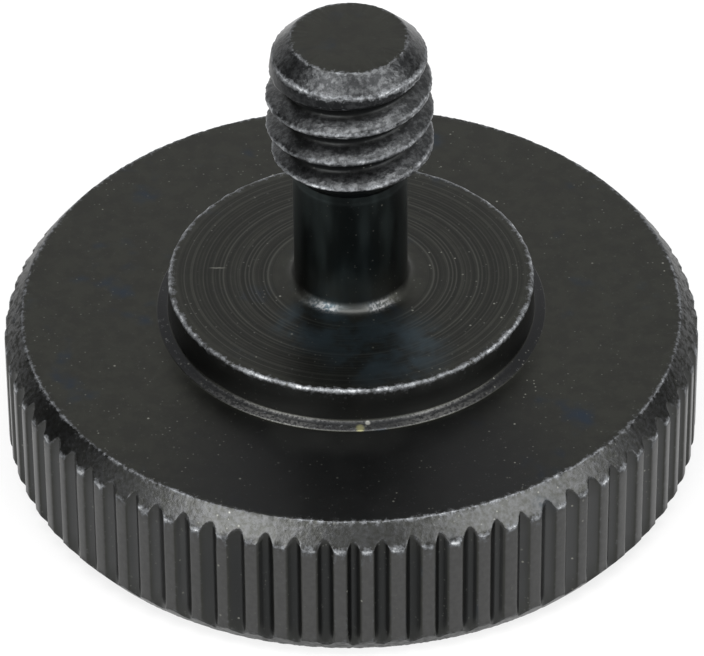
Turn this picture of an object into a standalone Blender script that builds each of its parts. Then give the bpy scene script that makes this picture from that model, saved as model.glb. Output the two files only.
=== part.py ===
"""Tripod thread adapter, turned from one bar of steel.

A thumb disc with a straight knurl carries a low round boss and a short camera stud.
The stud has a plain neck, so the thread sits only on its head.
The underside is flat, with a threaded socket for a tripod screw.

Metres, +Z up.  The origin is the centre of the underside, and the stud points up.
"""

import bpy
import bmesh
import math

# Thumb disc
DISC_RADIUS = 0.01319
DISC_THICKNESS = 0.00619
RIM_BEVEL_WIDTH = 0.00069
RIM_BEVEL_HEIGHT = 0.00091

# Straight knurl rolled into the rim
KNURL_PITCH = 0.00109
KNURL_DEPTH = 0.00029
KNURL_CREST_WIDTH = 0.00045

# Boss on the disc, with the ledge that the facing tool left round its foot
BOSS_RADIUS = 0.00693
BOSS_HEIGHT = 0.00157
BOSS_EDGE_BREAK = 0.00006
BOSS_FOOT_FILLET = 0.00024
BOSS_FOOT_LEDGE_WIDTH = 0.00018
BOSS_FOOT_LEDGE_HEIGHT = 0.00005

# Stud: plain neck, threaded head and tip
STUD_LENGTH = 0.01110
NECK_RADIUS = 0.00214
NECK_FOOT_FILLET = 0.00036
STUD_THREAD_RADIUS = 0.00313
STUD_THREAD_PITCH = 0.00127
STUD_HEAD_LENGTH = 0.00475
STUD_LEAD_LENGTH = 0.00240
STUD_LEAD_DROP = 0.00025
STUD_TIP_CHAMFER = 0.00070
STUD_GROOVE_START = 0.00094
STUD_GROOVE_TAIL = 0.00049
STUD_GROOVE_START_ANGLE = math.radians(100)

# Socket for a tripod screw
SOCKET_THREAD_RADIUS = 0.00476
SOCKET_THREAD_PITCH = 0.00159
SOCKET_END_WALL = 0.00156
SOCKET_PLAIN_END = 0.00010
SOCKET_MOUTH_CLEARANCE = 0.00010
SOCKET_GROOVE_START_ANGLE = math.radians(-90)

# Screw thread form: 60 degree flanks, and flats that are shares of the pitch
FLANK_SLOPE = math.tan(math.radians(30))
FLAT_AT_LARGE_RADIUS = 1 / 8
FLAT_AT_SMALL_RADIUS = 1 / 4
GROOVE_OVERCUT = 0.00006
GROOVE_FADE_TURNS = 0.2

# Facets
TURNED_FACETS = 56
FILLET_FACETS = 4
THREAD_FACETS_PER_TURN = 44
KNURL_GROOVE_SIDES = (-0.6, 0.0, 0.6)
SHARP_ANGLE = math.radians(25)

BLACKENED_STEEL = (0.035, 0.035, 0.034, 1.0)

TIP_HEIGHT = DISC_THICKNESS + BOSS_HEIGHT + STUD_LENGTH
FACE_RADIUS = DISC_RADIUS - RIM_BEVEL_WIDTH
SOCKET_DEPTH = DISC_THICKNESS + BOSS_HEIGHT - SOCKET_END_WALL


def clear_scene():
    """Remove whatever the file opened with."""
    for thing in list(bpy.data.objects):
        bpy.data.objects.remove(thing, do_unlink=True)


def thread_depth(pitch):
    """Depth of a thread, from the flats at its two radii and the slope of its flanks."""
    return 0.5 * pitch * (1.0 - FLAT_AT_LARGE_RADIUS - FLAT_AT_SMALL_RADIUS) / FLANK_SLOPE


def fillet(centre, radius):
    """Quarter circle (radius, height) that leads from a face, below centre, up a wall beside it."""
    points = []
    for i in range(FILLET_FACETS + 1):
        angle = -0.5 * math.pi * (1.0 + i / FILLET_FACETS)
        points.append((centre[0] + radius * math.cos(angle), centre[1] + radius * math.sin(angle)))
    return points


def stem_profile():
    """Half section (radius, height) of boss and stud, from the disc's face up to the tip's middle."""
    ledge = DISC_THICKNESS + BOSS_FOOT_LEDGE_HEIGHT
    boss_top = DISC_THICKNESS + BOSS_HEIGHT
    shoulder = TIP_HEIGHT - STUD_HEAD_LENGTH
    land_radius = STUD_THREAD_RADIUS - STUD_LEAD_DROP
    boss_centre = (BOSS_RADIUS + BOSS_FOOT_FILLET, ledge + BOSS_FOOT_FILLET)
    neck_centre = (NECK_RADIUS + NECK_FOOT_FILLET, boss_top + NECK_FOOT_FILLET)
    return [
        (boss_centre[0] + BOSS_FOOT_LEDGE_WIDTH, DISC_THICKNESS),
        *fillet(boss_centre, BOSS_FOOT_FILLET),
        (BOSS_RADIUS, boss_top - BOSS_EDGE_BREAK),
        (BOSS_RADIUS - BOSS_EDGE_BREAK, boss_top),
        *fillet(neck_centre, NECK_FOOT_FILLET),
        (NECK_RADIUS, shoulder - (STUD_THREAD_RADIUS - NECK_RADIUS)),
        (STUD_THREAD_RADIUS, shoulder),
        (STUD_THREAD_RADIUS, TIP_HEIGHT - STUD_LEAD_LENGTH),
        (land_radius, TIP_HEIGHT - STUD_TIP_CHAMFER),
        (land_radius - STUD_TIP_CHAMFER, TIP_HEIGHT),
        (0.0, TIP_HEIGHT),
    ]


def socket_profile():
    """Half section (radius, height) of the socket, from its mouth up to its end's middle."""
    mouth = SOCKET_THREAD_RADIUS + SOCKET_MOUTH_CLEARANCE
    bore = SOCKET_THREAD_RADIUS - thread_depth(SOCKET_THREAD_PITCH)
    return [(mouth, 0.0), (bore, mouth - bore), (bore, SOCKET_DEPTH), (0.0, SOCKET_DEPTH)]


def turn_profile(bm, profile):
    """Spin a half section once round the axis, as a lathe would, and close it at the axis."""
    verts = [bm.verts.new((radius, 0.0, height)) for radius, height in profile]
    edges = [bm.edges.new(pair) for pair in zip(verts, verts[1:])]
    bmesh.ops.spin(
        bm, geom=verts + edges, cent=(0, 0, 0), axis=(0, 0, 1),
        angle=math.tau, steps=TURNED_FACETS, use_merge=True)
    on_axis = [v for v in bm.verts if math.hypot(v.co.x, v.co.y) < 1e-8]
    bmesh.ops.remove_doubles(bm, verts=on_axis, dist=1e-7)


def knurl_outline():
    """Corners (angle, radius) of the knurled rim: flat crests between round-bottomed grooves."""
    teeth = round(math.tau * DISC_RADIUS / KNURL_PITCH)
    tooth = math.tau / teeth
    half_groove = 0.5 * (tooth - KNURL_CREST_WIDTH / DISC_RADIUS)
    corners = []
    for i in range(teeth):
        middle = i * tooth - math.pi / 2
        corners.append((middle - half_groove, DISC_RADIUS))
        for side in KNURL_GROOVE_SIDES:
            depth = KNURL_DEPTH * math.sqrt(1.0 - side * side)
            corners.append((middle + side * half_groove, DISC_RADIUS - depth))
        corners.append((middle + half_groove, DISC_RADIUS))
    return corners


def bevel_drop(radius):
    """How far the rim's bevel lies from the disc's face at this radius."""
    return RIM_BEVEL_HEIGHT * (radius - FACE_RADIUS) / RIM_BEVEL_WIDTH


def ring(bm, corners):
    """A ring of new corners, each given as angle, radius and height."""
    return [bm.verts.new((r * math.cos(a), r * math.sin(a), z)) for a, r, z in corners]


def skin(bm, rings):
    """Faces between rings that all have as many corners as each other."""
    for lower, upper in zip(rings, rings[1:]):
        for i in range(len(lower)):
            bm.faces.new((lower[i - 1], lower[i], upper[i], upper[i - 1]))


def knurled_rim(bm):
    """Outside of the disc: the lower bevel, the knurl and the upper bevel.

    The bevels are cones, so a groove runs on into each of them and ends there in a round arch.
    """
    outline = knurl_outline()
    skin(bm, [
        ring(bm, [(a, FACE_RADIUS, 0.0) for a, r in outline]),
        ring(bm, [(a, r, bevel_drop(r)) for a, r in outline]),
        ring(bm, [(a, r, DISC_THICKNESS - bevel_drop(r)) for a, r in outline]),
        ring(bm, [(a, FACE_RADIUS, DISC_THICKNESS) for a, r in outline]),
    ])


def flat_faces(bm):
    """The two flat faces of the disc, between the rim and the boss or the socket's mouth."""
    open_edges = [edge for edge in bm.edges if edge.is_boundary]
    for side in (-1, 1):
        edges = [e for e in open_edges if side * (e.verts[0].co.z - 0.5 * DISC_THICKNESS) > 0]
        bmesh.ops.triangle_fill(bm, edges=edges, use_beauty=True, normal=(0, 0, side))


def groove_section(crest_radius, towards_root, pitch, crest_flat, root_flat):
    """Section (radius, height) of a thread groove, with its mouth a little clear of the crests."""
    root_radius = crest_radius + towards_root * thread_depth(pitch)
    clear_radius = crest_radius - towards_root * GROOVE_OVERCUT
    half_root = 0.5 * pitch * root_flat
    half_mouth = 0.5 * pitch * (1.0 - crest_flat) + GROOVE_OVERCUT * FLANK_SLOPE
    return [
        (root_radius, half_root),
        (root_radius, -half_root),
        (clear_radius, -half_mouth),
        (clear_radius, half_mouth),
    ]


def groove_cutter(name, section, start_angle, start_height, end_height, pitch):
    """Cutter for a thread groove: its section swept down a right-hand helix.

    It leaves the metal over part of a turn at each end, as a rolled or tapped thread does.
    """
    turns = (start_height - end_height) / pitch
    steps = round(turns * THREAD_FACETS_PER_TURN)
    clear_of_metal = section[-1][0] - section[0][0]
    bm = bmesh.new()
    rings = []
    for i in range(steps + 1):
        turn = turns * i / steps
        depth_share = min(1.0, turn / GROOVE_FADE_TURNS, (turns - turn) / GROOVE_FADE_TURNS)
        away = clear_of_metal * (1.0 - math.sin(0.5 * math.pi * depth_share))
        angle = start_angle - math.tau * turn
        height = start_height - pitch * turn
        rings.append(ring(bm, [(angle, r + away, height + up) for r, up in section]))
    skin(bm, rings)
    bm.faces.new(rings[0])
    bm.faces.new(rings[-1])
    cutter = finish_object(name, bm)
    cutter.hide_render = True
    cutter.display_type = 'WIRE'
    return cutter


def stud_groove():
    """The groove of the stud's thread, which fades out before the tip and before the neck."""
    section = groove_section(
        STUD_THREAD_RADIUS, -1, STUD_THREAD_PITCH, FLAT_AT_LARGE_RADIUS, FLAT_AT_SMALL_RADIUS)
    return groove_cutter(
        "stud_thread_groove", section, STUD_GROOVE_START_ANGLE, TIP_HEIGHT - STUD_GROOVE_START,
        TIP_HEIGHT - STUD_HEAD_LENGTH - STUD_GROOVE_TAIL, STUD_THREAD_PITCH)


def socket_groove():
    """The groove of the socket's thread, which fades out before the end and leaves by the mouth."""
    bore = SOCKET_THREAD_RADIUS - thread_depth(SOCKET_THREAD_PITCH)
    section = groove_section(
        bore, 1, SOCKET_THREAD_PITCH, FLAT_AT_SMALL_RADIUS, FLAT_AT_LARGE_RADIUS)
    half_mouth = section[-1][1]
    return groove_cutter(
        "socket_thread_groove", section, SOCKET_GROOVE_START_ANGLE,
        SOCKET_DEPTH - SOCKET_PLAIN_END - half_mouth, -SOCKET_THREAD_PITCH, SOCKET_THREAD_PITCH)


def finish_object(name, bm):
    """Make an object of the bmesh: faces point outwards, and round ones are shaded smooth."""
    bmesh.ops.recalc_face_normals(bm, faces=bm.faces[:])
    mesh = bpy.data.meshes.new(name)
    bm.to_mesh(mesh)
    bm.free()
    mesh.shade_smooth()
    mesh.set_sharp_from_angle(angle=SHARP_ANGLE)
    thing = bpy.data.objects.new(name, mesh)
    bpy.context.scene.collection.objects.link(thing)
    return thing


def black_steel():
    """Blackened steel: dark, satin and metallic."""
    material = bpy.data.materials.new("black_steel")
    material.use_nodes = True
    shader = material.node_tree.nodes["Principled BSDF"]
    shader.inputs["Base Color"].default_value = BLACKENED_STEEL
    shader.inputs["Metallic"].default_value = 0.6
    shader.inputs["Roughness"].default_value = 0.45
    return material


def cut(body, cutter):
    """Take the cutter's shape out of the body."""
    boolean = body.modifiers.new(cutter.name, 'BOOLEAN')
    boolean.operation = 'DIFFERENCE'
    boolean.solver = 'EXACT'
    boolean.object = cutter


def thread_adapter():
    """The whole adapter: knurled disc, boss, stud and socket, with both threads cut."""
    bm = bmesh.new()
    turn_profile(bm, stem_profile())
    turn_profile(bm, socket_profile())
    knurled_rim(bm)
    flat_faces(bm)
    adapter = finish_object("thread_adapter", bm)
    adapter.data.materials.append(black_steel())
    cut(adapter, stud_groove())
    cut(adapter, socket_groove())


clear_scene()
thread_adapter()
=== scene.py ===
# %% [markdown]
# A tripod thread adapter is one small piece of steel, turned on a lathe, knurled, threaded and then
# blackened. Close up it is all edges, and every edge has lost a little of its black and shows steel.
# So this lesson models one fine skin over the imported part, rounds each edge as the real one is
# rounded, and lets the finish read from the mesh where the edges are.

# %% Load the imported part
import math
import random
import bmesh
import bpy
from mathutils import Matrix, Vector, noise


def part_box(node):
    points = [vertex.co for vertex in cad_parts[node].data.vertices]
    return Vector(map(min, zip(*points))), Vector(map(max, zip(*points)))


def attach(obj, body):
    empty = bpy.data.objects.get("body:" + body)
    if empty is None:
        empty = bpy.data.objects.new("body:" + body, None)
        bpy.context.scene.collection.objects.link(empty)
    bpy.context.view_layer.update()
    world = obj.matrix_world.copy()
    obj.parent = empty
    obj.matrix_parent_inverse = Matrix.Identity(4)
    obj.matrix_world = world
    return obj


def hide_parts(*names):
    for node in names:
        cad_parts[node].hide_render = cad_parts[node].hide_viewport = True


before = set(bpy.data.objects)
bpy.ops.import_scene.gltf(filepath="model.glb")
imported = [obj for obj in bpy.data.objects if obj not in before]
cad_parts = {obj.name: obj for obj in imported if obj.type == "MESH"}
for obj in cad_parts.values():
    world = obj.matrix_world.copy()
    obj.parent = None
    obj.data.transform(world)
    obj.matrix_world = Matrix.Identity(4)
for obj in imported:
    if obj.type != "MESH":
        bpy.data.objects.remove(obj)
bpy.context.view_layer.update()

MM = 0.001
low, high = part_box("thread_adapter")
print("packed part, mm:", [round(side / MM, 2) for side in high - low])

# %% [markdown]
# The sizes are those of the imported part, in millimetres, because a turned part this small is drawn in
# millimetres. The finished mesh is scaled to metres. Heights are from the underside.

# %% Sizes of the part
DISC_RADIUS = 13.19
DISC_TOP = 6.19
BEVEL_WIDTH = 0.69
BEVEL_HEIGHT = 0.91
FACE_RADIUS = DISC_RADIUS - BEVEL_WIDTH
BOSS_RADIUS = 6.93
BOSS_TOP = DISC_TOP + 1.57
NECK_RADIUS = 2.14
TIP = BOSS_TOP + 11.10
print("height of the tip, mm:", round(TIP, 2))

# %% [markdown]
# A lathe follows a section: a line of radius and height. No edge of a real part is sharp, so each
# corner of a section also says how round it is, and one helper turns every corner into a short arc.
# The bevel operator could round the mesh instead, but a section keeps every radius exact.

# %% Rounded sections
ARC_FACETS = 3


def rounded(corners):
    """Points (radius, height) of a section whose corners are (radius, height, rounding)."""
    points = []
    for i, (radius, height, rounding) in enumerate(corners):
        here = Vector((radius, height))
        if not rounding:
            points.append(here)
            continue
        back = (Vector(corners[i - 1][:2]) - here).normalized()
        ahead = (Vector(corners[i + 1][:2]) - here).normalized()
        half = back.angle(ahead) / 2
        centre = here + (back + ahead).normalized() * rounding / math.sin(half)
        first = here + back * rounding / math.tan(half) - centre
        last = here + ahead * rounding / math.tan(half) - centre
        for k in range(ARC_FACETS + 1):
            points.append(centre + first.lerp(last, k / ARC_FACETS).normalized() * rounding)
    return points


print("points of a corner:", len(rounded([(1, 0, 0), (1, 1, 0.1), (0, 1, 0)])) - 2)

# %% [markdown]
# The adapter has two threads: a stud that goes into a camera and a socket for a tripod's screw. A
# thread is a blank, which is the turned shape before threading, and one groove on a helix. Both are
# given as sizes, so that one set of helpers can make either.

# %% Sizes of the two threads
SHOULDER = TIP - 4.75
HEAD_BOTTOM = TIP - 5.90
STUD = {
    "side": 1, "pitch": 1.27, "crest": 3.13, "crest_flat": 1 / 8, "root_flat": 1 / 4,
    "start_angle": math.radians(100), "start_height": TIP - 0.94, "end_height": SHOULDER - 0.49,
    "rows": 30, "columns": 240,
    "blank": rounded([
        (NECK_RADIUS, HEAD_BOTTOM, 0), (NECK_RADIUS, SHOULDER - 0.99, 0.12), (3.13, SHOULDER, 0.10),
        (3.13, TIP - 2.40, 0.6), (2.88, TIP - 0.70, 0.15), (2.18, TIP, 0.06), (0.0, TIP, 0)]),
}
SOCKET_DEPTH = 6.20
SOCKET = {
    "side": -1, "pitch": 1.59, "crest": 3.899, "crest_flat": 1 / 4, "root_flat": 1 / 8,
    "start_angle": math.radians(-90), "start_height": SOCKET_DEPTH - 0.73, "end_height": -1.59,
    "rows": 18, "columns": 96,
    "blank": rounded([
        (4.86, 0.0, 0), (3.899, 0.961, 0.15), (3.899, SOCKET_DEPTH, 0)]),
}
turns = (STUD["start_height"] - STUD["end_height"]) / STUD["pitch"]
print("turns of the stud's groove:", round(turns, 2))

# %% [markdown]
# The groove's section is a V with flat ends, and a real tool leaves no sharp line in it. So the
# groove is a height field over angle and height: at each place it says how far the metal is cut, and
# a soft minimum rounds the crests and the root. A boolean cut would give sharp lines and slivers.

# %% The groove's face
FLANK_SLOPE = math.tan(math.radians(30))
GROOVE_FADE_TURNS = 0.2
GROOVE_OVERCUT = 0.06
ROOT_SOFTNESS = 0.10


def soft_min(a, b, softness):
    """The smaller of two lengths, blended where they are nearly equal, which rounds an edge."""
    share = max(softness - abs(a - b), 0.0) / softness
    return min(a, b) - share * share * softness / 4


def groove_depth(thread):
    """Depth of a groove, from its pitch, its flats and the slope of its flanks."""
    return 0.5 * thread["pitch"] * (1 - thread["crest_flat"] - thread["root_flat"]) / FLANK_SLOPE


def groove_rise(thread, angle, height):
    """How far the groove's face stands off the crests at this place: below nothing, it cuts."""
    pitch = thread["pitch"]
    depth = groove_depth(thread)
    turn = (thread["start_angle"] - angle) / math.tau
    lap = round((thread["start_height"] - pitch * turn - height) / pitch)
    off_middle = abs(height - thread["start_height"] + pitch * (turn + lap))
    last = (thread["start_height"] - thread["end_height"]) / pitch
    share = min(turn + lap, last - turn - lap) / GROOVE_FADE_TURNS
    share = min(1.0, max(0.0, share))
    away = (depth + GROOVE_OVERCUT) * (1 - math.sin(0.5 * math.pi * share))
    past_root = -soft_min(0.0, 0.5 * pitch * thread["root_flat"] - off_middle, ROOT_SOFTNESS)
    return away + past_root / FLANK_SLOPE - depth


print("depth of the stud's groove, mm:", round(groove_depth(STUD), 3))

# %% [markdown]
# The mesh should climb with the groove, so that its edges stay clean. A straight wire, one pitch
# tall, is spun once round with a rise of one pitch, and that lap is stacked: each row of the grid
# then follows the helix. Level cuts trim the tube at its ends, and put rows where the blank has its
# own edges. Only then is each point moved in or out to the groove's face.

# %% A wall that climbs with its thread
CREST_SOFTNESS = 0.13


def radius_at(section, height):
    """Radius of a section at a height, where its heights only rise."""
    for below, above in zip(section, section[1:]):
        if height <= above.y:
            share = max(0.0, (height - below.y) / max(above.y - below.y, 1e-9))
            return below.x + share * (above.x - below.x)
    return section[-1].x


def verts_of(items):
    """The points among what an operator gives back."""
    return [item for item in items if isinstance(item, bmesh.types.BMVert)]


def cut_level(bm, height, **clear):
    """Cut a row of edges into the mesh at a height, and clear one side away if asked."""
    everything = bm.verts[:] + bm.edges[:] + bm.faces[:]
    bmesh.ops.bisect_plane(
        bm, geom=everything, dist=1e-5, plane_co=(0, 0, height), plane_no=(0, 0, 1), **clear)


def climbing_tube(thread, bottom, top):
    """A plain tube between two heights, whose rows climb one pitch with each lap."""
    bm = bmesh.new()
    pitch, rows, columns = thread["pitch"], thread["rows"], thread["columns"]
    start = bottom - 1.01 * pitch
    wire = [bm.verts.new((thread["crest"], 0, start + pitch * i / rows)) for i in range(rows + 1)]
    edges = [bm.edges.new(pair) for pair in zip(wire, wire[1:])]
    bmesh.ops.spin(
        bm, geom=wire + edges, cent=(0, 0, 0), axis=(0, 0, 1), dvec=(0, 0, pitch / columns),
        angle=math.tau, steps=columns, use_merge=False)
    lap = bm.verts[:] + bm.edges[:] + bm.faces[:]
    for i in range(1, math.ceil((top - start) / pitch)):
        copy = bmesh.ops.duplicate(bm, geom=lap)["geom"]
        bmesh.ops.translate(bm, verts=verts_of(copy), vec=(0, 0, pitch * i))
    bmesh.ops.remove_doubles(bm, verts=bm.verts[:], dist=1e-4)
    cut_level(bm, bottom, clear_inner=True)
    cut_level(bm, top, clear_outer=True)
    return bm


def helical_wall(thread):
    """A wall whose grid climbs with the thread, with the groove pressed into its blank."""
    blank = thread["blank"]
    bottom, top = blank[0].y, blank[-1].y
    bm = climbing_tube(thread, bottom, top)
    for point in blank[1:-1]:
        if bottom + 0.01 < point.y < top - 0.01:
            cut_level(bm, point.y)
    side = thread["side"]
    for vert in bm.verts:
        angle, height = math.atan2(vert.co.y, vert.co.x), vert.co.z
        groove = thread["crest"] + side * groove_rise(thread, angle, height)
        stock = radius_at(blank, height)
        radius = side * soft_min(side * stock, side * groove, CREST_SOFTNESS)
        vert.co.x, vert.co.y = radius * math.cos(angle), radius * math.sin(angle)
    return bm


head_part, socket_part = helical_wall(STUD), helical_wall(SOCKET)
print("faces of the two walls:", len(head_part.faces), len(socket_part.faces))

# %% [markdown]
# The stud's head ends in a flat tip, and the socket in a flat end and a flat round its mouth. A
# circle of triangles would do for a flat, but rings that are extruded inwards keep its faces even,
# and only the small last ring is closed with a fan.

# %% Flat ends of stud and socket
def boundary(bm, height):
    """The open ring of edges at a height."""
    return [edge for edge in bm.edges
            if edge.is_boundary and all(abs(vert.co.z - height) < 1e-3 for vert in edge.verts)]


def edges_of(items):
    """The edges among what an operator gives back."""
    return [item for item in items if isinstance(item, bmesh.types.BMEdge)]


def flat(bm, height, radii, closed):
    """Extrude the open ring at a height to each radius in turn, and close the last if asked."""
    ring = boundary(bm, height)
    for radius in radii:
        made = bmesh.ops.extrude_edge_only(bm, edges=ring)["geom"]
        for vert in verts_of(made):
            share = radius / math.hypot(vert.co.x, vert.co.y)
            vert.co = vert.co.x * share, vert.co.y * share, height
        ring = edges_of(made)
    if closed:
        lid = bmesh.ops.contextual_create(bm, geom=ring)["faces"]
        bmesh.ops.poke(bm, faces=lid)


flat(head_part, TIP, (2.12, 2.0, 1.2, 0.4), closed=True)
flat(socket_part, SOCKET_DEPTH, (3.7, 2.0, 0.6), closed=True)
flat(socket_part, 0.0, (4.92, 5.0, 8.0, 11.0, 12.2), closed=False)
print("faces of head and socket:", len(head_part.faces), len(socket_part.faces))

# %% [markdown]
# The neck, the boss and the disc's face are plain turning, so they are one section spun round the
# axis. The facing tool left fine rings on top of the boss. They are only microns high, and the light
# still finds them, so they are in the section and not painted on. Round the boss's foot the tool
# stopped a little high, and left a narrow ledge that slopes down to the disc.

# %% The turned stem
TURNED_STEPS = 200
NECK_TOP = HEAD_BOTTOM - 0.15
NECK_RIDGE = 0.006
RING_PITCH = 0.22
RING_HEIGHT = 0.0100


def turning_rings(first, last, height, seed):
    """Points of a faced surface: shallow rings of slightly uneven depth."""
    rough = random.Random(seed)
    points = []
    radius = first
    while radius < last:
        pitch = RING_PITCH * rough.uniform(0.7, 1.3)
        depth = RING_HEIGHT * rough.uniform(0.3, 1.0)
        points += [Vector((radius, height)), Vector((radius + 0.45 * pitch, height - depth))]
        radius += pitch
    return points


def stem():
    """Neck, boss and the inner part of the disc's face."""
    neck = rounded([
        (NECK_RADIUS, NECK_TOP, 0), (NECK_RADIUS, NECK_TOP - 0.05, 0),
        (NECK_RADIUS + NECK_RIDGE, NECK_TOP - 0.12, 0), (NECK_RADIUS, NECK_TOP - 0.20, 0),
        (NECK_RADIUS, BOSS_TOP + 2.0, 0), (NECK_RADIUS, BOSS_TOP, 0.36), (3.0, BOSS_TOP, 0)])
    rings = turning_rings(2.62, 6.70, BOSS_TOP, 4)
    foot = rounded([
        (6.74, BOSS_TOP, 0), (BOSS_RADIUS, BOSS_TOP, 0.12), (BOSS_RADIUS, BOSS_TOP - 0.22, 0),
        (BOSS_RADIUS, BOSS_TOP - 0.7, 0), (BOSS_RADIUS, DISC_TOP + 0.145, 0.10),
        (7.18, DISC_TOP + 0.075, 0.03), (7.35, DISC_TOP + 0.03, 0.03),
        (7.39, DISC_TOP, 0.01), (7.6, DISC_TOP, 0), (8.4, DISC_TOP, 0),
        (10.0, DISC_TOP, 0), (12.2, DISC_TOP, 0)])
    section = neck[:-1] + rings + foot
    bm = bmesh.new()
    verts = [bm.verts.new((point.x, 0, point.y)) for point in section]
    edges = [bm.edges.new(pair) for pair in zip(verts, verts[1:])]
    bmesh.ops.spin(
        bm, geom=verts + edges, cent=(0, 0, 0), axis=(0, 0, 1),
        angle=math.tau, steps=TURNED_STEPS, use_merge=True)
    return bm


stem_part = stem()
print("faces of the stem:", len(stem_part.faces))

# %% [markdown]
# A straight knurl is rolled: a toothed wheel presses grooves into the rim. One tooth is drawn as a
# few points along the rim, each with its depth. The crest between two grooves is flat, and ends at
# the bevels in a small lip of pushed metal.

# %% One tooth of the knurl
KNURL_TEETH = 76
KNURL_DEPTH = 0.31
KNURL_CREST_WIDTH = 0.48
KNURL_LIP = 0.04
TOOTH = math.tau / KNURL_TEETH
HALF_TOOTH = DISC_RADIUS * TOOTH / 2
HALF_CREST = KNURL_CREST_WIDTH / 2


def tooth_outline():
    """Corners (angle, depth, lip) from the middle of a groove to the middle of the next."""
    edge = HALF_TOOTH - HALF_CREST
    half = [
        (0.0, KNURL_DEPTH), (0.07, KNURL_DEPTH - 0.012), (0.60 * edge, 0.68 * KNURL_DEPTH),
        (0.83 * edge, 0.36 * KNURL_DEPTH), (edge, 0.045), (edge + 0.05, 0.014), (edge + 0.12, 0.002)]
    other_half = [(2 * HALF_TOOTH - along, depth) for along, depth in reversed(half)]
    outline = []
    for along, depth in half + [(HALF_TOOTH, 0.0)] + other_half:
        across = min(1.0, abs(along - HALF_TOOTH) / HALF_CREST)
        outline.append((along / DISC_RADIUS, depth, KNURL_LIP * (1 - across * across)))
    return outline


print("width of a tooth, mm:", round(2 * HALF_TOOTH, 3), "corners:", len(tooth_outline()))

# %% [markdown]
# On the real rim each groove runs into the bevels by itself and ends there in a pointed arch. It
# does so here too, if every column of the rim has its own section: it goes over the bevel, down the
# rim at that column's depth and under, so a deep column leaves the bevel sooner than a crest does.

# %% One column of the rim
BEVEL_ROWS = (
    # share of the bevel, share of the lip, rounding
    (0.12, 0.0, 0), (0.28, 0.0, 0), (0.78, 0.0, 0), (0.88, 0.0, 0), (1.0, 1.0, 0.05))


def bevel_drop(radius):
    """How far the bevel lies from the disc's face at this radius."""
    return BEVEL_HEIGHT * (radius - FACE_RADIUS) / BEVEL_WIDTH


def rim_section(radius, lip):
    """Points from the disc's face over one column of the rim to the underside."""
    bevel = [
        (FACE_RADIUS + share * (radius - FACE_RADIUS),
         DISC_TOP - share * bevel_drop(radius) - hang * lip, rounding)
        for share, hang, rounding in BEVEL_ROWS]
    end = DISC_TOP - bevel_drop(radius) - lip
    upper = rounded([
        (FACE_RADIUS - 0.12, DISC_TOP, 0), (FACE_RADIUS, DISC_TOP, 0.05), *bevel,
        (radius, end - 0.18, 0), (radius, DISC_TOP - 1.6, 0), (radius, DISC_TOP / 2, 0)])
    lower = [Vector((point.x, DISC_TOP - point.y)) for point in reversed(upper[:-1])]
    return upper + lower


print("points of a column:", len(rim_section(DISC_RADIUS, 0.0)))

# %% [markdown]
# The tooth is copied 76 times round the axis. A rolled knurl is never even, so each groove then gets
# its own depth, lean and lip, and the spacing drifts slowly. The ring is extruded row by row, and
# each point of a row is placed where its own column has it.

# %% The knurled rim
rim_sections = {}


def vary_teeth(bm, layers):
    """Make each groove and crest a little different, and let the spacing drift slowly."""
    rough = random.Random(11)
    strength = [rough.uniform(0.80, 1.0) for i in range(KNURL_TEETH)]
    lean = [rough.uniform(-0.07, 0.07) for i in range(KNURL_TEETH)]
    edge_shift = [rough.uniform(-0.055, 0.055) for i in range(2 * KNURL_TEETH)]
    lips = [rough.uniform(0.35, 1.25) for i in range(KNURL_TEETH)]
    for vert in bm.verts:
        angle = (math.atan2(vert.co.y, vert.co.x) + math.pi / 2) % math.tau
        groove = int(round(angle / TOOTH)) % KNURL_TEETH
        half = int(angle / TOOTH * 2) % (2 * KNURL_TEETH)
        from_groove = abs(angle / TOOTH - round(angle / TOOTH)) * 2
        move = edge_shift[half] * math.sin(math.pi * min(1.0, from_groove))
        move += lean[groove] * max(0.0, 1 - 2 * from_groove)
        move += 0.05 + 0.09 * math.cos(2 * (angle - math.radians(12)))
        vert[layers[0]] *= strength[groove]
        vert[layers[1]] *= lips[int(angle / TOOTH) % KNURL_TEETH]
        vert.co = Matrix.Rotation(move / DISC_RADIUS, 3, 'Z') @ vert.co


def place_row(verts, layers, row):
    """Put each corner of a ring where its own column of the rim has this row."""
    for vert in verts:
        angle = math.atan2(vert.co.y, vert.co.x)
        column = round(vert[layers[0]], 3), round(vert[layers[1]], 3)
        if column not in rim_sections:
            rim_sections[column] = rim_section(DISC_RADIUS - column[0], column[1])
        point = rim_sections[column][row]
        vert.co = point.x * math.cos(angle), point.x * math.sin(angle), point.y


def rim():
    """The rim of the disc, from its face over the knurl to its underside."""
    bm = bmesh.new()
    layers = [bm.verts.layers.float.new(name) for name in ("groove_depth", "crest_lip")]
    verts = []
    for angle, sunk, lip in tooth_outline():
        turned = angle - math.pi / 2
        place = DISC_RADIUS * math.cos(turned), DISC_RADIUS * math.sin(turned), 0
        verts.append(bm.verts.new(place))
        verts[-1][layers[0]], verts[-1][layers[1]] = sunk, lip
    edges = [bm.edges.new(pair) for pair in zip(verts, verts[1:])]
    for i in range(1, KNURL_TEETH):
        copy = bmesh.ops.duplicate(bm, geom=verts + edges)["geom"]
        turn = Matrix.Rotation(i * TOOTH, 3, 'Z')
        bmesh.ops.rotate(bm, verts=verts_of(copy), cent=(0, 0, 0), matrix=turn)
    bmesh.ops.remove_doubles(bm, verts=bm.verts[:], dist=1e-4)
    vary_teeth(bm, layers)
    ring = bm.edges[:]
    place_row(bm.verts, layers, 0)
    for row in range(1, len(rim_section(DISC_RADIUS, 0.0))):
        made = bmesh.ops.extrude_edge_only(bm, edges=ring)["geom"]
        ring = edges_of(made)
        place_row(verts_of(made), layers, row)
    return bm


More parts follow.
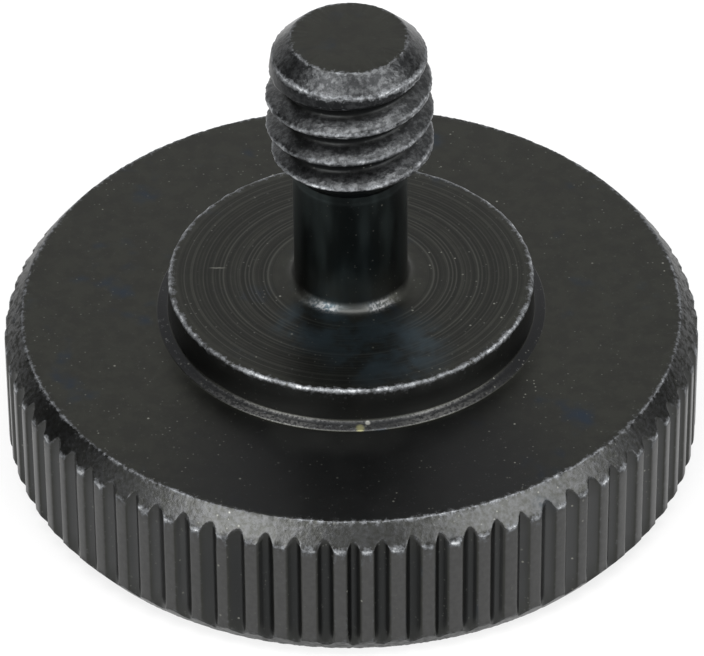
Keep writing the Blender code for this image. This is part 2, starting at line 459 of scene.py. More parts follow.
rim_part = rim()
print("faces of the rim:", len(rim_part.faces), "different columns:", len(rim_sections))

# %% [markdown]
# The adapter is one piece of steel, so its parts become one skin. They meet along open rings with
# different numbers of edges, and bridges between the rings close the skin without moving a point.
# Then the faces are turned outwards.

# %% One skin
def bridge(bm, height, first, last):
    """Join two open rings that lie at a height between two radii."""
    edges = [edge for edge in bm.edges
             if edge.is_boundary and abs(edge.verts[0].co.z - height) < 0.2
             and first < math.hypot(*edge.verts[0].co.xy) < last]
    bmesh.ops.bridge_loops(bm, edges=edges)


def skin(parts):
    """The whole adapter as one closed mesh, in millimetres."""
    bm = bmesh.new()
    for part in parts:
        mesh = bpy.data.meshes.new("part")
        part.to_mesh(mesh)
        part.free()
        bm.from_mesh(mesh)
        bpy.data.meshes.remove(mesh)
    bridge(bm, HEAD_BOTTOM, 2.0, 2.3)
    bridge(bm, DISC_TOP, 12.0, 12.5)
    bridge(bm, 0.0, 12.0, 12.5)
    bmesh.ops.recalc_face_normals(bm, faces=bm.faces[:])
    bm.normal_update()
    return bm


bm = skin((head_part, stem_part, rim_part, socket_part))
print("open or shared edges:", len([edge for edge in bm.edges if not edge.is_manifold]))

# %% [markdown]
# Handling rubs the black off the edges first. The shader could look for edges, but the mesh knows
# them better: each point learns how sharply the metal stands out there, which is its mean curvature.
# Wear starts on what stands out, as much as that place is touched, and fades with the way from it.
# Worn edges are also dented, a few hundredths of a millimetre inwards.

# %% Wear on the edges
TOUCHED = (
    # radius from, to, height from, to, share
    (2.00, 2.40, TIP - 0.10, TIP + 0.1, 0.62),
    (2.70, 3.30, TIP - 0.95, TIP - 0.5, 1.08),
    (2.70, 3.30, TIP - 1.35, TIP - 0.95, 0.32),
    (2.70, 3.30, SHOULDER - 0.4, TIP - 1.35, 1.05),
    (2.00, 2.25, NECK_TOP - 0.5, HEAD_BOTTOM - 0.02, 0.0),
    (2.00, 3.30, HEAD_BOTTOM - 0.2, SHOULDER - 0.4, 0.72),
    (6.60, 7.00, BOSS_TOP - 0.2, BOSS_TOP + 0.1, 0.98),
    (7.00, 7.60, DISC_TOP - 0.1, DISC_TOP + 0.2, 0.15),
    (FACE_RADIUS - 0.10, FACE_RADIUS + 0.10, 0.0, DISC_TOP, 0.78),
    (DISC_RADIUS - 0.03, DISC_RADIUS + 0.1, 0.8, 1.25, 0.40),
    (DISC_RADIUS - 0.012, DISC_RADIUS + 0.1, DISC_TOP - 1.3, DISC_TOP - 0.8, 1.30),
    (3.80, 5.10, -0.1, 1.2, 0.80),
)
SELDOM_TOUCHED = 0.25
WEAR_REACH = 0.19
WEAR_SWEEPS = 4
DENT = 0.040
DENTED_FROM = 0.2


def mean_curvature(vert):
    """Mean curvature of the skin at a point, in 1/mm: above nothing where it bulges."""
    bend = sum(edge.calc_face_angle_signed(0.0) * edge.calc_length() for edge in vert.link_edges)
    area = sum(face.calc_area() for face in vert.link_faces)
    return bend / max(area, 1e-6)


def smooth_step(value, first, last):
    """Nothing up to the first value, one from the last, and a smooth rise between."""
    share = min(1.0, max(0.0, (value - first) / (last - first)))
    return share * share * (3 - 2 * share)


def touch(radius, height):
    """How often this place meets a table, a finger or a screw."""
    for first, last, bottom, top, share in TOUCHED:
        if first <= radius <= last and bottom <= height <= top:
            return share
    return SELDOM_TOUCHED


def write_wear(bm):
    """Store how exposed each point is: most on an edge, and less with the way from it."""
    wear = bm.verts.layers.float.new("wear")
    for vert in bm.verts:
        stands_out = smooth_step(mean_curvature(vert), 1.5, 4.0)
        vert[wear] = stands_out * touch(math.hypot(vert.co.x, vert.co.y), vert.co.z)
    spans = [(edge.verts[0], edge.verts[1], edge.calc_length() / WEAR_REACH) for edge in bm.edges]
    for sweep in range(WEAR_SWEEPS):
        for a, b, loss in spans:
            a[wear] = max(a[wear], b[wear] - loss)
            b[wear] = max(b[wear], a[wear] - loss)
    return wear


def dent_edges(bm, wear):
    """Push worn edges inwards, more here and less there."""
    for vert in bm.verts:
        if vert[wear] > DENTED_FROM:
            wide, fine = noise.noise(vert.co * 2.9), noise.noise(vert.co * 7.1)
            vert.co -= vert.normal * DENT * vert[wear] * max(0.0, 0.35 + 0.6 * wide + 1.1 * fine)


wear_layer = write_wear(bm)
dent_edges(bm, wear_layer)
worn = sum(vert[wear_layer] > DENTED_FROM for vert in bm.verts)
print("points that are worn:", worn, "of", len(bm.verts))

# %% [markdown]
# The black did not take evenly, and tools left their own surfaces: bevels and thread flanks are
# grainy, the crests of the knurl are rubbed smooth, and grooves hold what polish never reached.
# Separate materials would leave hard borders between these. So each is a mask that the mesh carries,
# one inside its zone and fading at its edge.

# %% Zones of the disc
def above_bevel(radius, height):
    """How far a point stands inside the nearer bevel's own plane: about nothing on a bevel."""
    from_face = min(height, DISC_TOP - height)
    return abs(from_face - bevel_drop(radius))


def grain(radius, height):
    """One on bevels, chamfer and the crests of threads, which are rougher than the faces."""
    if radius > FACE_RADIUS - 0.03:
        return 1.0 - smooth_step(above_bevel(radius, height), 0.10, 0.22)
    if height > TIP - 0.75:
        return smooth_step(radius, 2.12, 2.25)
    if height > TIP - 1.30 and radius > 2.86:
        return 0.2
    if height > SHOULDER - 1.1:
        return smooth_step(radius, 2.35, 3.00)
    return 0.0


def crest(radius, height):
    """One on the crests of the knurl."""
    return smooth_step(radius, DISC_RADIUS - 0.05, DISC_RADIUS - 0.01)


def hollow(radius, height):
    """One in the grooves of the knurl."""
    if radius < FACE_RADIUS:
        return 0.0
    side = smooth_step(above_bevel(radius, height), 0.10, 0.25)
    return side * (1.0 - smooth_step(radius, DISC_RADIUS - 0.14, DISC_RADIUS - 0.03))


def face(radius, height):
    """One on the face of the disc, which is duller than the boss."""
    if abs(height - DISC_TOP) > 0.02:
        return 0.0
    inside = 1.0 - smooth_step(radius, FACE_RADIUS - 0.1, FACE_RADIUS - 0.02)
    return smooth_step(radius, 7.40, 7.60) * inside


print("mask of the face, 10 mm from the axis:", face(10.0, DISC_TOP))

# %% [markdown]
# The boss has more kinds of surface than the disc, from the ledge at its foot up to the neck. Most
# of them are narrow rings, so radius and height are enough to tell them apart.

# %% Zones of boss and neck
def foot(radius, height):
    """One on the ledge round the foot of the boss."""
    if height > DISC_TOP + 0.3:
        return 0.0
    return smooth_step(radius, 6.94, 7.00) * (1.0 - smooth_step(radius, 7.34, 7.38))


def boss_side(radius, height):
    """One on the side of the boss."""
    return float(6.85 < radius < 6.95 and DISC_TOP + 0.2 < height < BOSS_TOP - 0.1)


def faced(radius, height):
    """One on top of the boss, where the facing tool left rings."""
    if abs(height - BOSS_TOP) > 0.02:
        return 0.0
    return smooth_step(radius, 2.6, 3.2) * (1.0 - smooth_step(radius, 6.3, 6.7))


def fillet(radius, height):
    """One on the fillet at the foot of the neck, which a tool has scratched, and where a highlight is
    painted at the front.
    """
    if radius > 2.55 or not BOSS_TOP - 0.02 < height < BOSS_TOP + 0.6:
        return 0.0
    return smooth_step(height, BOSS_TOP - 0.02, BOSS_TOP + 0.03) * (
        1.0 - smooth_step(height, BOSS_TOP + 0.14, BOSS_TOP + 0.24))


def neck(radius, height):
    """One on the neck."""
    if radius > 2.3 or not BOSS_TOP + 0.2 < height < HEAD_BOTTOM + 0.3:
        return 0.0
    return smooth_step(height, BOSS_TOP + 0.3, BOSS_TOP + 0.6)


print("mask of the neck, half way up:", neck(NECK_RADIUS, (BOSS_TOP + HEAD_BOTTOM) / 2))

# %% [markdown]
# On the stud's head the flanks are pitted and grey, and the root of the groove is the blackest place
# of all. With these two the zones are complete, and all of them are written to the mesh's points.

# %% Zones of the stud's head
def stud(radius, height):
    """One on the chamfer and the outer flanks of the thread, which are pitted all over."""
    if radius > 3.3 or height < SHOULDER - 1.1:
        return 0.0
    if height > TIP - 0.75:
        return smooth_step(radius, 2.12, 2.25)
    return smooth_step(radius, 2.40, 2.62)


def root(radius, height):
    """One in the groove of the stud's thread, where nothing rubs and shade is painted, and less on the
    first land.
    """
    if radius > 3.3 or not HEAD_BOTTOM + 0.1 < height < TIP - 0.8:
        return 0.0
    if height > TIP - 1.30 and radius > 2.86:
        return 0.6
    return 1.0 - smooth_step(radius, 2.38, 2.65)


def write_zones(bm):
    """Store the zones on the points of the mesh."""
    for zone in (grain, stud, foot, face, fillet, faced, neck, boss_side, crest, hollow, root):
        layer = bm.verts.layers.float.new(zone.__name__)
        for vert in bm.verts:
            vert[layer] = zone(math.hypot(vert.co.x, vert.co.y), vert.co.z)


write_zones(bm)
print("masks on the mesh:", ", ".join(layer.name for layer in bm.verts.layers.float.values()))

# %% [markdown]
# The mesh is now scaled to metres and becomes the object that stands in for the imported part. It
# rides on the part's only body, and takes the steel's slot. Smooth shading suits it, because each
# edge is round and has faces of its own.

# %% The finished piece
print("volume, mm3:", round(bm.calc_volume(signed=True), 1))
print("triangles:", sum(len(face.verts) - 2 for face in bm.faces))
bmesh.ops.scale(bm, vec=(MM, MM, MM), verts=bm.verts[:])
mesh = bpy.data.meshes.new("adapter")
bm.to_mesh(mesh)
bm.free()
mesh.shade_smooth()
adapter = bpy.data.objects.new("adapter", mesh)
bpy.context.scene.collection.objects.link(adapter)
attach(adapter, "root")
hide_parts("thread_adapter")

# %% [markdown]
# A finish is a graph of nodes, and in a script a graph soon fills pages. So this class gives the
# graph short words: a cloud, a speck, a spot, a blend. All patterns read object coordinates in
# metres, so a scale of 10,000 gives grain a tenth of a millimetre across.

# %% Words for the finish
class Finish:
    """A metal finish, and short words for the nodes that it is made of."""

    def __init__(self, name):
        self.material = bpy.data.materials.new(name)
        self.material.use_nodes = True
        self.nodes = self.material.node_tree.nodes
        self.links = self.material.node_tree.links
        self.shader = self.nodes["Principled BSDF"]
        self.place = self.nodes.new("ShaderNodeTexCoord").outputs["Object"]
        self.colour = None

    def put(self, value, socket):
        """Wire an output into a socket, or write a number or colour there."""
        if isinstance(value, bpy.types.NodeSocket):
            self.links.new(value, socket)
        else:
            socket.default_value = value

    def calc(self, operation, a, b=0.0):
        """One step of arithmetic."""
        node = self.nodes.new("ShaderNodeMath")
        node.operation = operation
        self.put(a, node.inputs[0])
        self.put(b, node.inputs[1])
        return node.outputs[0]

    def times(self, a, b):
        """The product of two numbers or outputs."""
        return self.calc('MULTIPLY', a, b)

    def fade(self, value, first, last, low=0.0, high=1.0):
        """A smooth step of a value from low to high."""
        node = self.nodes.new("ShaderNodeMapRange")
        node.interpolation_type = 'SMOOTHSTEP'
        self.put(value, node.inputs["Value"])
        for name, number in (
                ("From Min", first), ("From Max", last), ("To Min", low), ("To Max", high)):
            node.inputs[name].default_value = number
        return node.outputs["Result"]

    def zone(self, name):
        """A mask that the mesh carries."""
        node = self.nodes.new("ShaderNodeAttribute")
        node.attribute_name = name
        return node.outputs["Fac"]

    def stretched(self, scale):
        """Object coordinates, stretched along each axis."""
        node = self.nodes.new("ShaderNodeMapping")
        self.links.new(self.place, node.inputs["Vector"])
        node.inputs["Scale"].default_value = scale
        return node.outputs["Vector"]

    def from_axis(self):
        """Distance from the turning axis, as a place along a line."""
        flat = self.stretched((1.0, 1.0, 0.0))
        length = self.nodes.new("ShaderNodeVectorMath")
        length.operation = 'LENGTH'
        self.links.new(flat, length.inputs[0])
        line = self.nodes.new("ShaderNodeCombineXYZ")
        self.links.new(length.outputs["Value"], line.inputs["X"])
        return line.outputs["Vector"]

    def spot(self, x, y, z, radius, place=None):
        """One near a place given in mm, fading out at the radius."""
        node = self.nodes.new("ShaderNodeVectorMath")
        node.operation = 'DISTANCE'
        self.links.new(place or self.place, node.inputs[0])
        node.inputs[1].default_value = (x * MM, y * MM, z * MM)
        return self.fade(node.outputs["Value"], 0.4 * radius * MM, radius * MM, 1.0, 0.0)

    def specks(self, scale, chosen, size):
        """Dots in some of the cells of a cell pattern."""
        node = self.nodes.new("ShaderNodeTexVoronoi")
        self.links.new(self.place, node.inputs["Vector"])
        node.inputs["Scale"].default_value = scale
        picked = self.fade(node.outputs["Color"], chosen, chosen + 0.02)
        dot = self.fade(node.outputs["Distance"], 0.5 * size, size, 1.0, 0.0)
        return self.times(picked, dot)

    def cloud(self, scale, detail=2.0, rough=0.5, place=None):
        """Noise between about 0 and 1."""
        node = self.nodes.new("ShaderNodeTexNoise")
        self.links.new(place or self.place, node.inputs["Vector"])
        node.inputs["Scale"].default_value = scale
        node.inputs["Detail"].default_value = detail
        node.inputs["Roughness"].default_value = rough
        return node.outputs["Fac"]

    def blend(self, factor, a, b):
        """The colour a where the factor is nothing, and b where it is one."""
        node = self.nodes.new("ShaderNodeMix")
        node.data_type = 'RGBA'
        self.put(factor, node.inputs["Factor"])
        self.put(a, node.inputs["A"])
        self.put(b, node.inputs["B"])
        return node.outputs["Result"]

    def paint(self, colour, *masks):
        """Lay a colour over the others where all masks are one; a zone's name is a mask too."""
        masks = [self.zone(mask) if isinstance(mask, str) else mask for mask in masks]
        share = masks[0]
        for mask in masks[1:]:
            share = self.times(share, mask)
        self.colour = self.blend(share, self.colour, colour)

    def tell(self):
        """Print how far the graph has grown."""
        print("nodes of the finish so far:", len(self.nodes))

    def bump(self, height, distance, normal=None):
        """A normal that is tilted by a height, on top of another normal."""
        node = self.nodes.new("ShaderNodeBump")
        node.inputs["Distance"].default_value = distance
        self.links.new(height, node.inputs["Height"])
        if normal:
            self.links.new(normal, node.inputs["Normal"])
        return node.outputs["Normal"]


print("grain at scale 10,000, mm:", round(1 / 10000 / MM, 2))

# %% [markdown]
# Blackened steel is still metal, so the shader stays metallic and the black is a very dark base
# colour. A grey plastic under a clear coat would look black too, but its highlights would be milky.
# Three clouds, wide, fine and medium, serve the whole finish and tie its layers together.

# %% Blackened steel
steel = Finish("blackened_steel")
steel.shader.inputs["Metallic"].default_value = 1.0
adapter.data.materials.append(steel.material)
grainy, wear = steel.zone("grain"), steel.zone("wear")
blotches = steel.cloud(420.0, 3.0, 0.6)
fine = steel.cloud(16000.0, 3.0, 0.6)
medium = steel.cloud(5200.0, 3.0, 0.6)
steel.tell()

# %% [markdown]
# The coat is mottled, a little olive, with clouds of blue. The front of the real disc mirrors
# something darker than any lamp here gives, so that shade is painted over its face, and so is a
# little light near the boss. A card in the room could do the same, but might darken the boss too.

# %% Coat of the disc
COAT = (0.0335, 0.0342, 0.0296, 1)
COAT_DULL = (0.0290, 0.0293, 0.0262, 1)
COAT_BLUE = (0.0215, 0.0300, 0.0430, 1)
SHADED = (0.0185, 0.0190, 0.0200, 1)
NEAR_FOOT = (0.062, 0.063, 0.060, 1)
LIGHT_NEAR_FOOT = ((-1.7, -7.3, 1.7), (-0.4, -7.5, 1.7), (0.8, -7.4, 1.6))

blue = steel.fade(blotches, 0.60, 0.80)
mottled = steel.fade(steel.cloud(1300.0, 3.0, 0.65), 0.38, 0.62)
steel.colour = steel.blend(mottled, COAT_DULL, COAT)
steel.paint(COAT_BLUE, blue)
shade = steel.times(steel.spot(0.7, -11.2, DISC_TOP, 10.4), 0.82)
steel.paint(SHADED, "face", shade)
for x, y, radius in LIGHT_NEAR_FOOT:
    steel.paint(NEAR_FOOT, "face", steel.spot(x, y, DISC_TOP, radius), 0.3)
steel.tell()

# %% [markdown]
# The facing tool left darker and lighter rings on the boss, besides those in the mesh. They are one
# noise that is read along the distance from the axis only, so each value goes all the way round. A
# bluish haze lies over them in two patches, which are also painted light, where the reflection of
# the stud darkens the boss.

# %% Coat of the boss
COAT_DARK = (0.0190, 0.0195, 0.0178, 1)
RUBBED_RING = (0.0600, 0.0610, 0.0550, 1)
HAZE_AND_LIGHT = (0.037, 0.051, 0.060, 1)
HAZE_AND_LIGHT_PATCHES = ((1.3, -4.5, 2.9), (-1.3, -3.1, 2.0))

rings = steel.cloud(7200.0, 3.0, 0.6, steel.from_axis())
steel.paint(COAT_DARK, "faced", steel.fade(rings, 0.58, 0.42))
steel.paint(RUBBED_RING, "faced", steel.fade(rings, 0.53, 0.64, 0.0, 0.85))
# Bluish haze, and painted light over the stud's dark reflection in the boss, in two patches.
patchy = steel.fade(steel.cloud(800.0, 3.0, 0.6), 0.36, 0.60, 0.1, 1.0)
for x, y, radius in HAZE_AND_LIGHT_PATCHES:
    steel.paint(HAZE_AND_LIGHT, steel.spot(x, y, BOSS_TOP, radius), patchy)
steel.tell()

# %% [markdown]
# Bevels and thread are rougher than the faces, and show more steel. The bevels are speckled by the
# medium cloud, and the thread's flanks have pits from a cloud of their own.

# %% Coat of bevels and thread
GRAINY = (0.055, 0.056, 0.057, 1)
PITTED = (0.070, 0.072, 0.074, 1)
UNPITTED = (0.029, 0.030, 0.031, 1)

speckled = steel.fade(medium, 0.30, 0.70, 0.25, 1.0)
steel.paint(GRAINY, "grain", speckled)
pits = steel.fade(steel.cloud(3900.0, 4.0, 0.75), 0.42, 0.62)
steel.paint(steel.blend(pits, UNPITTED, PITTED), "stud")
steel.tell()

# %% [markdown]
# The ledge at the boss's foot is gritty. A highlight is painted on it at the front, weaker in the
# middle, and the rest of the ledge gets painted shade. A dark line runs along it, painted as the
# shade of a groove, because a groove this narrow would need a finer mesh.

# %% Side of the boss and ledge
SIDE = (0.047, 0.048, 0.046, 1)
LEDGE_HIGHLIGHT = (0.098, 0.098, 0.096, 1)
DARK_LINE_RADIUS = 7.11

steel.paint(SIDE, "boss_side")
gritty = steel.fade(steel.cloud(8500.0, 2.0, 0.7), 0.38, 0.58, 0.1, 1.0)
# Painted highlight on the ledge at the front, weaker in the middle and broken by a line of painted
# shade; the rest of the ledge gets painted shade.
ledge_highlight = steel.times(steel.spot(0.0, -7.2, DISC_TOP, 7.4), gritty)
weaker_highlight = steel.times(steel.spot(0.4, -7.2, DISC_TOP, 2.6), -0.75)
ledge_highlight = steel.times(ledge_highlight, steel.calc('ADD', weaker_highlight, 1.0))
groove_shade = steel.times(steel.spot(DARK_LINE_RADIUS, 0.0, 0.0, 0.08, steel.from_axis()), -0.75)
ledge_highlight = steel.times(ledge_highlight, steel.calc('ADD', groove_shade, 1.0))
steel.paint(steel.blend(ledge_highlight, SHADED, LEDGE_HIGHLIGHT), "foot")
steel.tell()

# %% [markdown]
# A tool has scratched the fillet under the neck. The scratches are painted light, as a highlight at
# the front only, and are left out of its middle, which gets the boss side's grey. The neck has faint
# upright bands. Both are clouds in stretched coordinates: where a scale is small, the pattern is long.

# %% Fillet and neck
SCRATCHES_AND_HIGHLIGHT = (0.17, 0.17, 0.171, 1)
NECK = (0.043, 0.054, 0.054, 1)
NECK_DARK = (0.014, 0.017, 0.017, 1)

upright = steel.cloud(1.0, 2.0, 0.6, steel.stretched((9000, 9000, 2500)))
# Scratches and a painted highlight: light streaks only at the front of the fillet, none in its middle.
scratches_and_highlight = steel.times(steel.fade(upright, 0.42, 0.62), steel.spot(0.0, -2.6, BOSS_TOP, 2.4))
middle = steel.spot(0.1, -2.5, BOSS_TOP, 1.0)
scratches_and_highlight = steel.times(scratches_and_highlight, steel.calc('SUBTRACT', 1.0, middle))
steel.paint(SIDE, "fillet", middle)
steel.paint(SCRATCHES_AND_HIGHLIGHT, "fillet", scratches_and_highlight)
bands = steel.cloud(1.0, 2.0, 0.6, steel.stretched((900, 900, 200)))
bands = steel.fade(bands, 0.35, 0.65)
steel.paint(steel.blend(bands, NECK_DARK, NECK), "neck")
steel.tell()

# %% [markdown]
# Handling has rubbed the crests of the knurl. Its grooves are a little darker, and painted shade
# darkens them most at the front. The root of the stud's thread is painted nearly black as shade,
# because hardly any light comes out of it.

# %% Knurl and root of the thread
RUBBED = (0.074, 0.074, 0.073, 1)
RUBBED_LESS = (0.060, 0.060, 0.059, 1)
ROOT = (0.0038, 0.0042, 0.0050, 1)
HOLLOW = (0.060, 0.061, 0.061, 1)
HOLLOW_SHADED = (0.027, 0.028, 0.028, 1)

steel.paint(steel.blend(speckled, RUBBED_LESS, RUBBED), "crest")
# Painted shade: the root of the stud's thread is set nearly black.
steel.paint(ROOT, "root")
# Painted shade in the knurl's grooves, darkest at the front.
front_shade = steel.spot(0.0, -DISC_RADIUS, DISC_TOP / 2, 8.5)
steel.paint(steel.blend(front_shade, HOLLOW, HOLLOW_SHADED), "hollow")
steel.tell()

# %% [markdown]
# Light specks lie on the faces, in loose groups, and two of the groups stand out. A cell pattern
# makes them: some of its cells are picked, and each has a dot in its middle. One scratch, one fleck
# of old grease and one chip are placed one by one.

# %% Specks and marks
SPECK = (0.19, 0.19, 0.17, 1)
FAINT_SPECK = (0.095, 0.096, 0.088, 1)
OLD_GREASE = (0.15, 0.145, 0.08, 1)
CHIP = (0.15, 0.15, 0.14, 1)
DUST = ((3.4, 0.8, BOSS_TOP, 1.1), (5.9, -4.5, DISC_TOP, 1.7))
NARROW = 12

groups = steel.fade(steel.cloud(700.0), 0.40, 0.60, 0.15, 1.0)
clean_tip = steel.calc('SUBTRACT', 1.0, steel.spot(0.0, 0.0, TIP, 5.0))
groups = steel.times(groups, clean_tip)
steel.paint(FAINT_SPECK, groups, steel.specks(5200.0, 0.64, 0.22))
steel.paint(SPECK, groups, steel.specks(2300.0, 0.72, 0.13))
dust = steel.specks(5200.0, 0.60, 0.24)
for x, y, height, radius in DUST:
    steel.paint(SPECK, steel.spot(x, y, height, radius), dust)
narrow = steel.stretched((1.0, NARROW, NARROW))
steel.paint(SPECK, steel.spot(-5.05, NARROW * 0.4, NARROW * BOSS_TOP, 0.40, narrow))
steel.paint(OLD_GREASE, steel.spot(0.36, -7.24, DISC_TOP, 0.22))
steel.paint(CHIP, steel.spot(0.64, -7.02, DISC_TOP + 0.10, 0.13))
steel.tell()

# %% [markdown]
# Wear is the last layer of colour. Its mask from the mesh is smooth and real wear is ragged, so two
# clouds roughen it, and a wide one breaks it into stretches. As it grows, the coat goes from thin to
# bare to polished. One stretch of the bevel at the front left was spared.

# %% Worn coat
THIN = (0.090, 0.093, 0.097, 1)
BARE = (0.155, 0.161, 0.168, 1)
POLISHED = (0.36, 0.37, 0.38, 1)

stretches = steel.fade(steel.cloud(900.0, 2.0, 0.6), 0.38, 0.58, 0.62, 1.05)
jagged = steel.fade(medium, 0.30, 0.70, -0.30, 0.30)
ragged = steel.fade(fine, 0.30, 0.70, -0.15, 0.15)
spared = steel.times(steel.spot(-3.75, -11.92, DISC_TOP, 2.4), -0.55)
exposed = steel.times(wear, steel.times(stretches, steel.calc('ADD', spared, 1.0)))
exposed = steel.calc('ADD', exposed, steel.calc('ADD', jagged, ragged))
thin = steel.fade(exposed, 0.32, 0.60)
steel.paint(THIN, thin)
steel.paint(BARE, steel.fade(exposed, 0.62, 0.86))
steel.paint(POLISHED, steel.fade(exposed, 0.94, 1.28))
steel.put(steel.colour, steel.shader.inputs["Base Color"])
print("bare steel over coat:", round(BARE[1] / COAT[1], 1))

# %% [markdown]
# The shine follows the same masks: thin coat is rougher, grain a little smoother, and a tint dulls
# the bevels at a flat glance. Two bumps give the bevels' grain and the coat's much finer one.

# %% Shine and bumps
WHITE = (1, 1, 1, 1)
DULL_GLANCE = (0.50, 0.50, 0.50, 1)
GRAIN_HEIGHT = 0.000010
COAT_HEIGHT = 0.0000014

bevels = steel.calc('SUBTRACT', grainy, steel.zone("stud"))
bevels = steel.times(bevels, steel.fade(medium, 0.35, 0.60, 1.0, 0.45))
steel.put(steel.blend(bevels, WHITE, DULL_GLANCE), steel.shader.inputs["Specular Tint"])
rough = steel.fade(blotches, 0.35, 0.65, 0.33, 0.38)
rough = steel.calc('SUBTRACT', rough, steel.times(grainy, 0.05))
rough = steel.calc('ADD', rough, steel.times(thin, 0.22))
steel.put(rough, steel.shader.inputs["Roughness"])
uneven = steel.calc('MAXIMUM', grainy, steel.times(wear, 0.8))
uneven = steel.calc('ADD', uneven, steel.zone("stud"))
uneven = steel.times(medium, steel.calc('ADD', uneven, 0.08))
normal = steel.bump(fine, COAT_HEIGHT, steel.bump(uneven, GRAIN_HEIGHT))
steel.put(normal, steel.shader.inputs["Normal"])
steel.tell()

# %% [markdown]
# The photograph looks down at 39 degrees through a long lens. The camera aims at a point just below
# the middle of the disc's face, and is rolled by nearly half a degree. Its place was fitted to the
# outlines of disc, boss and tip, which is surer than moving it by eye.

# %% Camera
PICTURE_WIDTH = 704
FOCAL_PIXELS = 6290.0
SENSOR_WIDTH = 36.0
CAMERA_DISTANCE = 0.23866
CAMERA_ELEVATION = math.radians(39.03)
CAMERA_AZIMUTH = math.radians(0.5)
CAMERA_ROLL = math.radians(0.45)
CAMERA_AIM = Vector((0.00003, -0.00052, 0.00556))


def camera():
    """A camera at the photograph's angle."""
    data = bpy.data.cameras.new("camera")
    data.sensor_width = SENSOR_WIDTH
    data.lens = FOCAL_PIXELS / PICTURE_WIDTH * SENSOR_WIDTH
    data.clip_start = 0.01
    thing = bpy.data.objects.new("camera", data)
    back = Vector((0, -math.cos(CAMERA_ELEVATION), math.sin(CAMERA_ELEVATION)))
    back.rotate(Matrix.Rotation(CAMERA_AZIMUTH, 3, 'Z'))
    roll = Matrix.Rotation(-CAMERA_ROLL, 4, back)
    turn = roll @ back.to_track_quat('Z', 'Y').to_matrix().to_4x4()
    thing.matrix_world = Matrix.Translation(CAMERA_AIM + back * CAMERA_DISTANCE) @ turn
    bpy.context.scene.collection.objects.link(thing)
    bpy.context.scene.camera = thing
    print("lens, mm:", round(data.lens, 1))


camera()
bpy.context.scene.view_settings.view_transform = 'Standard'

# %% [markdown]
# The part stands on a white ground. The floor is white to the eye and to reflections, and keeps the
# shadow, because only a part of its white is its own light. A floor that only catches shadows would
# not show in the metal. From below it lets the eye through, so the underside can be seen.

# %% Floor
FLOOR_GLOW = 0.75


def seen_rays(nodes, links):
    """One where a ray comes from the eye, a reflection or glass, and nothing elsewhere."""
    path = nodes.new("ShaderNodeLightPath")
    total = path.outputs["Is Camera Ray"]
    for name in ("Is Glossy Ray", "Is Transmission Ray"):
        both = nodes.new("ShaderNodeMath")
        both.operation = 'MAXIMUM'
        links.new(total, both.inputs[0])
        links.new(path.outputs[name], both.inputs[1])
        total = both.outputs[0]
    return total


def square(name, turn, width, height):
    """A flat sheet, placed and turned by a matrix, with an empty material of its name."""
    bm = bmesh.new()
    bmesh.ops.create_grid(bm, x_segments=1, y_segments=1, size=0.5)
    bmesh.ops.scale(bm, vec=(width, height, 1.0), verts=bm.verts[:])
    bmesh.ops.transform(bm, matrix=turn, verts=bm.verts[:])
    mesh = bpy.data.meshes.new(name)
    bm.to_mesh(mesh)
    bm.free()
    thing = bpy.data.objects.new(name, mesh)
    bpy.context.scene.collection.objects.link(thing)
    material = bpy.data.materials.new(name)
    material.use_nodes = True
    mesh.materials.append(material)
    return thing, material.node_tree


def mixed(nodes, links, *outputs):
    """A mix of two shaders; the first output says how much of the last there is."""
    node = nodes.new("ShaderNodeMixShader")
    for output, place in zip(outputs, node.inputs):
        links.new(output, place)
    return node.outputs[0]


def floor():
    """A white floor that is partly a lamp to the eye and to reflections."""
    thing, tree = square("floor", Matrix(), 3.0, 3.0)
    nodes, links = tree.nodes, tree.links
    nodes.remove(nodes["Principled BSDF"])
    white = nodes.new("ShaderNodeEmission")
    white.inputs["Strength"].default_value = 1.0
    matt = nodes.new("ShaderNodeBsdfDiffuse")
    matt.inputs["Color"].default_value = (0.8, 0.8, 0.8, 1)
    share = nodes.new("ShaderNodeMath")
    share.operation = 'MULTIPLY'
    share.inputs[1].default_value = FLOOR_GLOW
    links.new(seen_rays(nodes, links), share.inputs[0])
    upper = mixed(nodes, links, share.outputs[0], matt.outputs[0], white.outputs[0])
    clear = nodes.new("ShaderNodeBsdfTransparent")
    geometry = nodes.new("ShaderNodeNewGeometry")
    both = mixed(nodes, links, geometry.outputs["Backfacing"], upper, clear.outputs[0])
    links.new(both, nodes["Material Output"].inputs["Surface"])
    print("floor, m:", [round(side, 2) for side in thing.dimensions])


floor()

# %% [markdown]
# The room is white all round, and three softboxes light the part: left, right and from the top. Each
# is given by the brightness that a mirror would show, because on dark metal that is what the eye
# sees. Small lamps would draw hard glints that the photograph lacks.

# %% Room and lamps
ROOM_LIGHT = 0.35


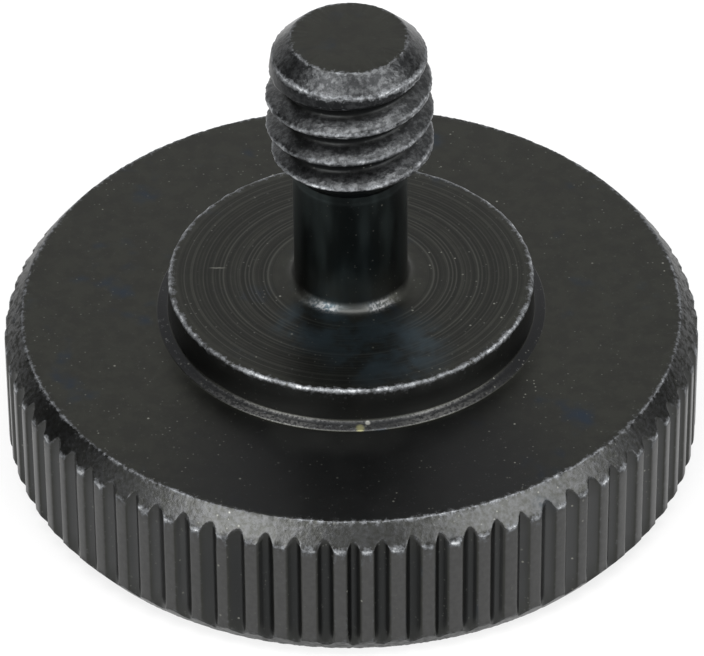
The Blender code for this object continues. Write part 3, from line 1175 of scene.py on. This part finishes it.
def room():
    """White all round to the eye and to reflections, and softer as light."""
    world = bpy.data.worlds.new("room")
    bpy.context.scene.world = world
    world.use_nodes = True
    nodes, links = world.node_tree.nodes, world.node_tree.links
    scale = nodes.new("ShaderNodeMapRange")
    scale.inputs["To Min"].default_value = ROOM_LIGHT
    scale.inputs["To Max"].default_value = 1.0
    links.new(seen_rays(nodes, links), scale.inputs["Value"])
    links.new(scale.outputs["Result"], nodes["Background"].inputs["Strength"])
    nodes["Background"].inputs["Color"].default_value = (1, 1, 1, 1)


def facing(direction, place):
    """The matrix of a thing at a place, with its own z axis turned this way."""
    turn = Vector(direction).to_track_quat('Z', 'Y').to_matrix().to_4x4()
    return Matrix.Translation(place) @ turn


def softbox(name, azimuth, elevation, distance, width, height, brightness):
    """A rectangular softbox that faces the part; its brightness is what a mirror would show."""
    data = bpy.data.lights.new(name, 'AREA')
    data.shape = 'RECTANGLE'
    data.size, data.size_y = width, height
    data.energy = brightness * math.pi * width * height
    lamp = bpy.data.objects.new(name, data)
    a, e = math.radians(azimuth), math.radians(elevation)
    back = Vector((math.sin(a) * math.cos(e), -math.cos(a) * math.cos(e), math.sin(e)))
    lamp.matrix_world = facing(back, back * distance)
    bpy.context.scene.collection.objects.link(lamp)
    print(name, "W:", round(data.energy, 2))


room()
softbox("left_softbox", -37, 34, 0.6, 0.34, 0.30, 7.4)
softbox("right_softbox", 55, 29, 0.6, 0.56, 0.30, 4.7)
softbox("top_softbox", 4, 78, 0.6, 0.80, 0.34, 4.8)

# %% [markdown]
# In a white room dark metal looks grey and flat. A studio therefore stands black cards round it, out
# of the picture, and their reflections draw dark edges and grooves. These cards are seen only by
# reflections, so they take no light from the floor and throw no shadow.

# %% Black cards
def black_card(name, place, direction, width, height):
    """A black card that only reflections see; it draws a dark edge on metal."""
    card, tree = square(name, facing(direction, place), width, height)
    tree.nodes["Principled BSDF"].inputs["Base Color"].default_value = (0.01, 0.01, 0.01, 1)
    card.visible_camera = card.visible_diffuse = card.visible_shadow = False
    print(name, "area, m2:", round(width * height, 3))


black_card("left_card", (-0.56, 0.105, 0.45), (1.0, -0.19, 0.0), 0.36, 0.9)
black_card("right_card", (0.56, 0.20, 0.14), (-1.0, -0.35, 0.0), 0.22, 0.28)
black_card("floor_card", (-0.29, 0.12, 0.0005), (0.0, 0.0, 1.0), 0.44, 0.50)
